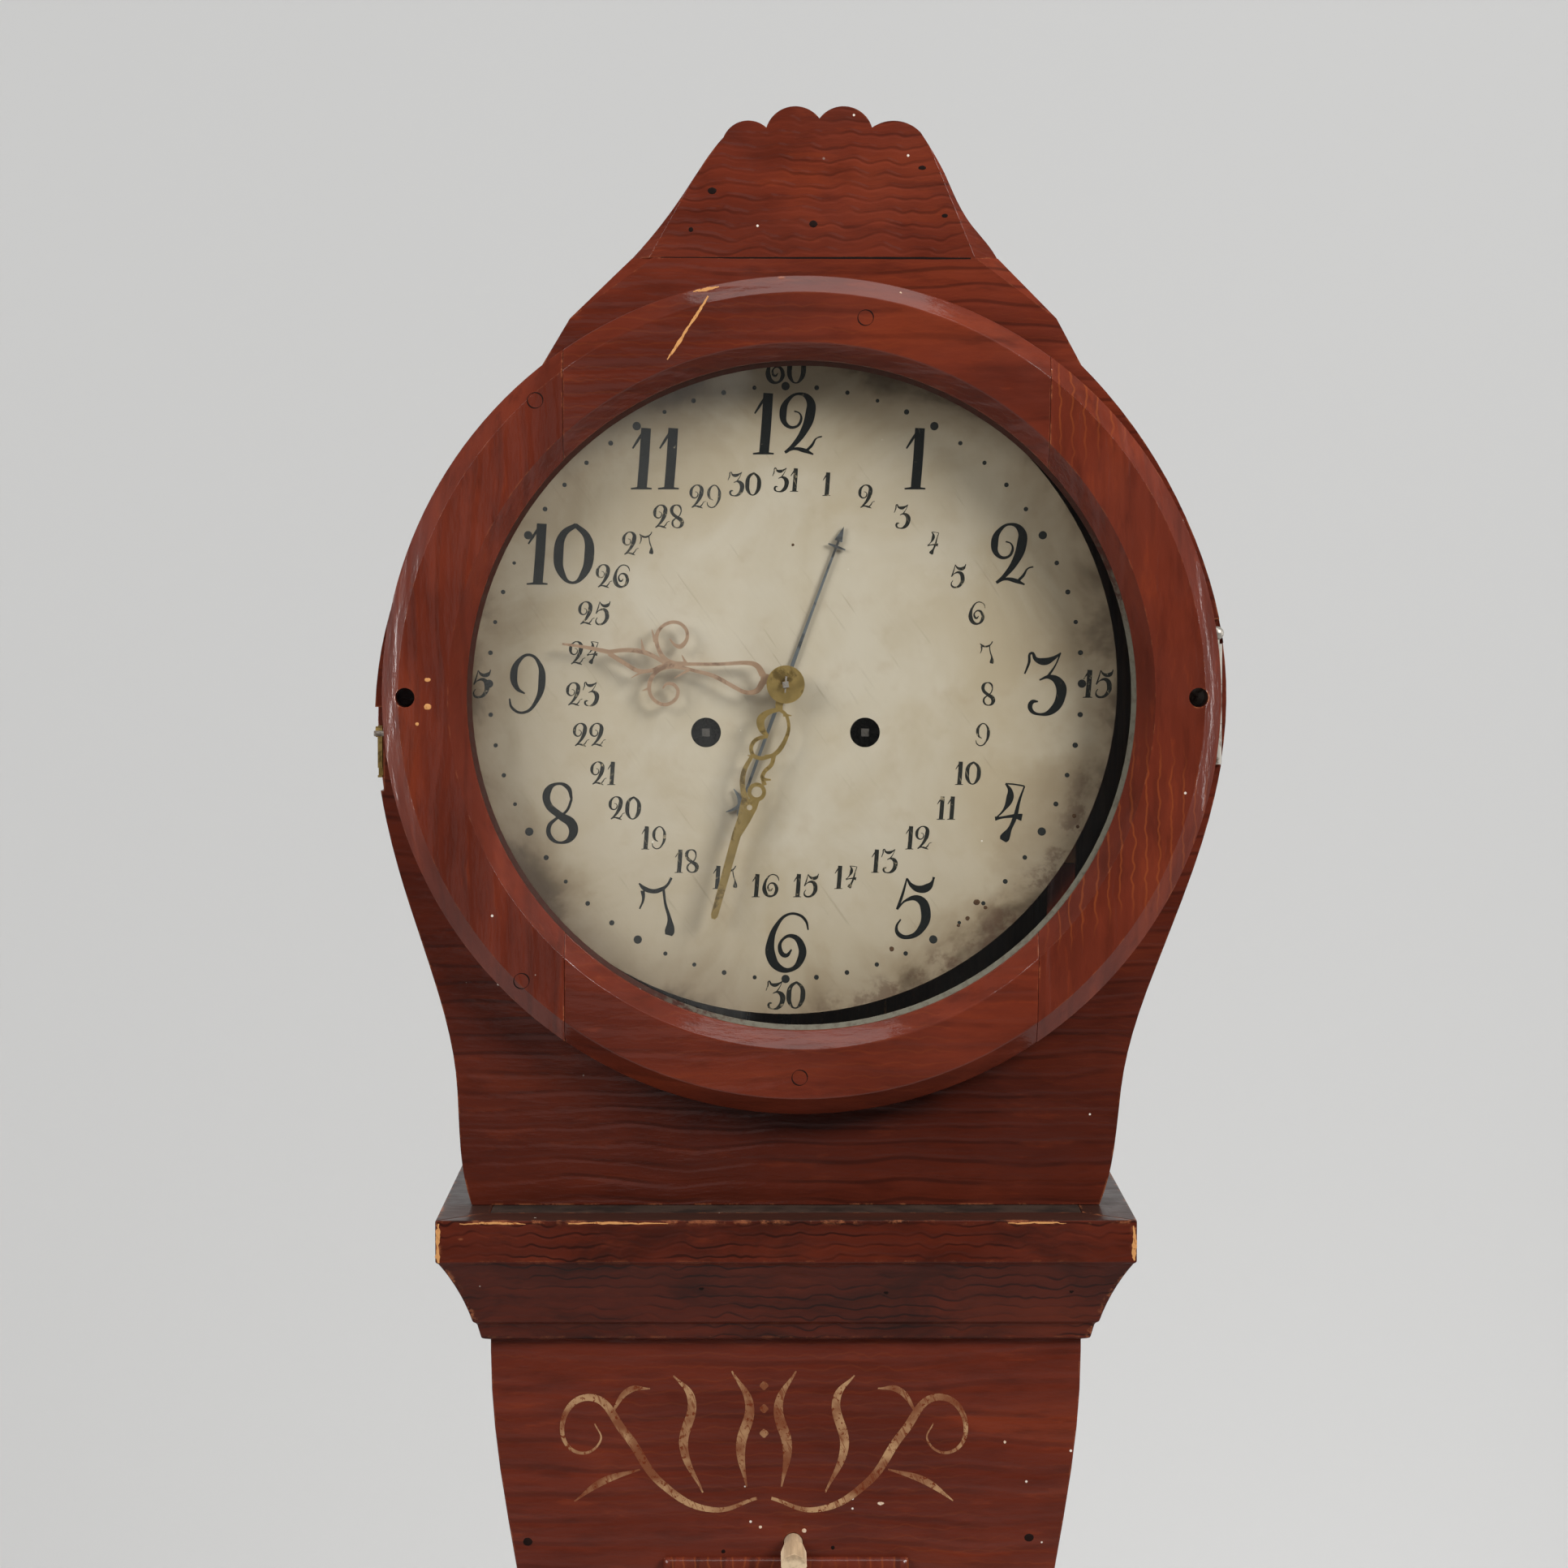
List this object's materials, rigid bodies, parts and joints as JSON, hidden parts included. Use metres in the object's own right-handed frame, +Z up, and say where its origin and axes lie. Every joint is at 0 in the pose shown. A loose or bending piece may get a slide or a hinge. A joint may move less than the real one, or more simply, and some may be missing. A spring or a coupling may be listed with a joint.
{
  "type": "tall case clock",
  "caption": "Tall waisted wooden case with a round-headed hood, a hinged glazed ring over a painted dial, openwork hands, a weight-driven movement and a long pendulum.",
  "frame": {"origin": "middle of the whole clock's footprint, on the floor", "axes": "+Z up, the dial faces -Y, +X to the viewer's right"},
  "size_m": [0.504, 0.245, 2.0593],
  "materials": {
    "aged_red_pine": "old red-brown paint under glossy worn varnish",
    "bare_pine": "unpainted aged pine",
    "birch": "whittled, unpainted",
    "hinge_steel": "dull, slightly rusted",
    "brass": "aged",
    "copper_brass": "aged, coppery",
    "plate_iron": "dark, dry",
    "blued_steel": "blued and worn",
    "dial_paint": "aged cream paint, foxed at its edge",
    "old_glass": "clear, slightly uneven",
    "old_putty": "dry",
    "gut_line": "twisted gut"
  },
  "bodies": {
    "case": {"plinth_front": "aged_red_pine", "plinth_sides": "aged_red_pine", "plinth_moulding": "aged_red_pine", "floor_board": "bare_pine", "backboard": "bare_pine", "trunk_left_side": "aged_red_pine", "trunk_right_side": "aged_red_pine", "trunk_front": "aged_red_pine", "cornice_front": "aged_red_pine", "cornice_returns": "aged_red_pine", "hood_platform": "bare_pine", "seat_board": "bare_pine", "trunk_hinge_case_leaves": "hinge_steel", "front_plate": "plate_iron", "back_plate": "plate_iron", "plate_pillars": "plate_iron", "dial_plate": "dial_paint", "bell": "brass", "bell_stand": "hinge_steel", "pendulum_cock": "hinge_steel", "going_line": "gut_line", "striking_line": "gut_line"},
    "trunk_door": {"trunk_door": "aged_red_pine", "trunk_hinge_door_leaves": "hinge_steel"},
    "door_peg": {"door_peg": "birch"},
    "hood": {"hood_front_board": "aged_red_pine", "hood_left_wall": "aged_red_pine", "hood_right_wall": "aged_red_pine", "hood_roof_board": "aged_red_pine", "crest_board": "aged_red_pine", "bezel_hinge_hood_leaf": "hinge_steel", "bezel_hinge_pin": "hinge_steel"},
    "bezel_hook": {"bezel_hook": "brass"},
    "bezel": {"bezel_left_board": "aged_red_pine", "bezel_right_board": "aged_red_pine", "bezel_top_board": "aged_red_pine", "bezel_bottom_board": "aged_red_pine", "bezel_glass": "old_glass", "glass_putty": "old_putty", "bezel_hinge_ring_leaf": "hinge_steel", "hook_catch_pin": "hinge_steel"},
    "centre_arbor": {"centre_wheel": "brass", "cannon_pinion": "brass", "minute_hand": "brass"},
    "going_great_wheel": {"going_great_wheel": "brass"},
    "third_arbor": {"third_wheel": "brass"},
    "escape_arbor": {"escape_wheel": "brass"},
    "minute_wheel": {"minute_wheel": "brass"},
    "hour_pipe": {"hour_wheel": "brass", "hour_hand": "copper_brass"},
    "date_pipe": {"date_hand": "blued_steel"},
    "pendulum": {"pendulum_rod": "plate_iron", "pendulum_bob": "brass"},
    "anchor": {"anchor_and_crutch": "hinge_steel"},
    "going_weight": {"going_weight": "plate_iron"},
    "going_drum": {"going_drum": "plate_iron"},
    "striking_weight": {"striking_weight": "plate_iron"},
    "striking_drum": {"striking_drum": "plate_iron"},
    "striking_great_wheel": {"striking_great_wheel": "brass"},
    "hammer": {"hammer": "hinge_steel"}
  },
  "joints": [
    {"name": "trunk_door_hinge", "type": "hinge", "parent": "case", "child": "trunk_door", "pos_m": [0.0725, -0.0725, 0.8435], "axis": [0, 0, 1], "range_deg": [0, 110]},
    {"name": "door_peg_slide", "type": "slide", "parent": "case", "child": "door_peg", "axis": [0, -1, 0], "range_m": [0, 0.06]},
    {"name": "hood_slide", "type": "slide", "parent": "case", "child": "hood", "axis": [0, -1, 0], "range_m": [0, 0.2]},
    {"name": "bezel_hinge", "type": "hinge", "parent": "hood", "child": "bezel", "pos_m": [0.23618, -0.044, 1.7339], "axis": [0, 0, 1], "range_deg": [0, 105]},
    {"name": "hook_turn", "type": "hinge", "parent": "hood", "child": "bezel_hook", "pos_m": [-0.223, -0.0335, 1.7183], "axis": [-1, 0, 0], "range_deg": [0, 90]},
    {"name": "minute_hand_turn", "type": "hinge", "parent": "case", "child": "centre_arbor", "pos_m": [0, 0.02, 1.7443], "axis": [0, 1, 0], "continuous": true},
    {"name": "great_wheel_turn", "type": "hinge", "parent": "case", "child": "going_great_wheel", "pos_m": [0.044, 0.02, 1.7173], "axis": [0, 1, 0], "continuous": true},
    {"name": "third_wheel_turn", "type": "hinge", "parent": "case", "child": "third_arbor", "pos_m": [0.0126, 0.02, 1.76612], "axis": [0, 1, 0], "continuous": true},
    {"name": "escape_wheel_turn", "type": "hinge", "parent": "case", "child": "escape_arbor", "pos_m": [0, 0.02, 1.78217], "axis": [0, 1, 0], "continuous": true},
    {"name": "minute_wheel_turn", "type": "hinge", "parent": "case", "child": "minute_wheel", "pos_m": [0, 0.02, 1.7743], "axis": [0, 1, 0], "continuous": true},
    {"name": "hour_hand_turn", "type": "hinge", "parent": "case", "child": "hour_pipe", "pos_m": [0, 0.02, 1.7443], "axis": [0, 1, 0], "continuous": true},
    {"name": "date_hand_turn", "type": "hinge", "parent": "case", "child": "date_pipe", "pos_m": [0, 0.02, 1.7443], "axis": [0, 1, 0], "continuous": true},
    {"name": "pendulum_swing", "type": "hinge", "parent": "case", "child": "pendulum", "pos_m": [0, 0.084, 1.8063], "axis": [0, 1, 0], "range_deg": [-3, 3]},
    {"name": "anchor_swing", "type": "hinge", "parent": "case", "child": "anchor", "pos_m": [0, 0.04, 1.8063], "axis": [0, 1, 0], "range_deg": [-3, 3]},
    {"name": "going_weight_lift", "type": "slide", "parent": "case", "child": "going_weight", "axis": [0, 0, 1], "range_m": [0, 1.1], "deforming": ["going_line"]},
    {"name": "going_drum_turn", "type": "hinge", "parent": "case", "child": "going_drum", "pos_m": [0.044, 0.02, 1.7173], "axis": [0, 1, 0], "range_deg": [0, 5490]},
    {"name": "striking_weight_lift", "type": "slide", "parent": "case", "child": "striking_weight", "axis": [0, 0, 1], "range_m": [0, 1.1], "deforming": ["striking_line"]},
    {"name": "striking_drum_turn", "type": "hinge", "parent": "case", "child": "striking_drum", "pos_m": [-0.044, 0.02, 1.7173], "axis": [0, 1, 0], "range_deg": [-5490, 0]},
    {"name": "striking_wheel_turn", "type": "hinge", "parent": "case", "child": "striking_great_wheel", "pos_m": [-0.044, 0.02, 1.7173], "axis": [0, 1, 0], "continuous": true},
    {"name": "hammer_swing", "type": "hinge", "parent": "case", "child": "hammer", "pos_m": [-0.072, 0.035, 1.7843], "axis": [0, -1, 0], "range_deg": [0, 10]}
  ],
  "couplings": [
    {"joint": "great_wheel_turn", "follows": "minute_hand_turn", "ratio": -0.083333},
    {"joint": "third_wheel_turn", "follows": "minute_hand_turn", "ratio": -8},
    {"joint": "escape_wheel_turn", "follows": "minute_hand_turn", "ratio": 60},
    {"joint": "minute_wheel_turn", "follows": "minute_hand_turn", "ratio": -0.33333},
    {"joint": "hour_hand_turn", "follows": "minute_hand_turn", "ratio": 0.083333},
    {"joint": "anchor_swing", "follows": "pendulum_swing", "ratio": 1},
    {"joint": "going_drum_turn", "follows": "going_weight_lift", "rad_per_m": 86.957},
    {"joint": "striking_drum_turn", "follows": "striking_weight_lift", "rad_per_m": -86.957}
  ]
}
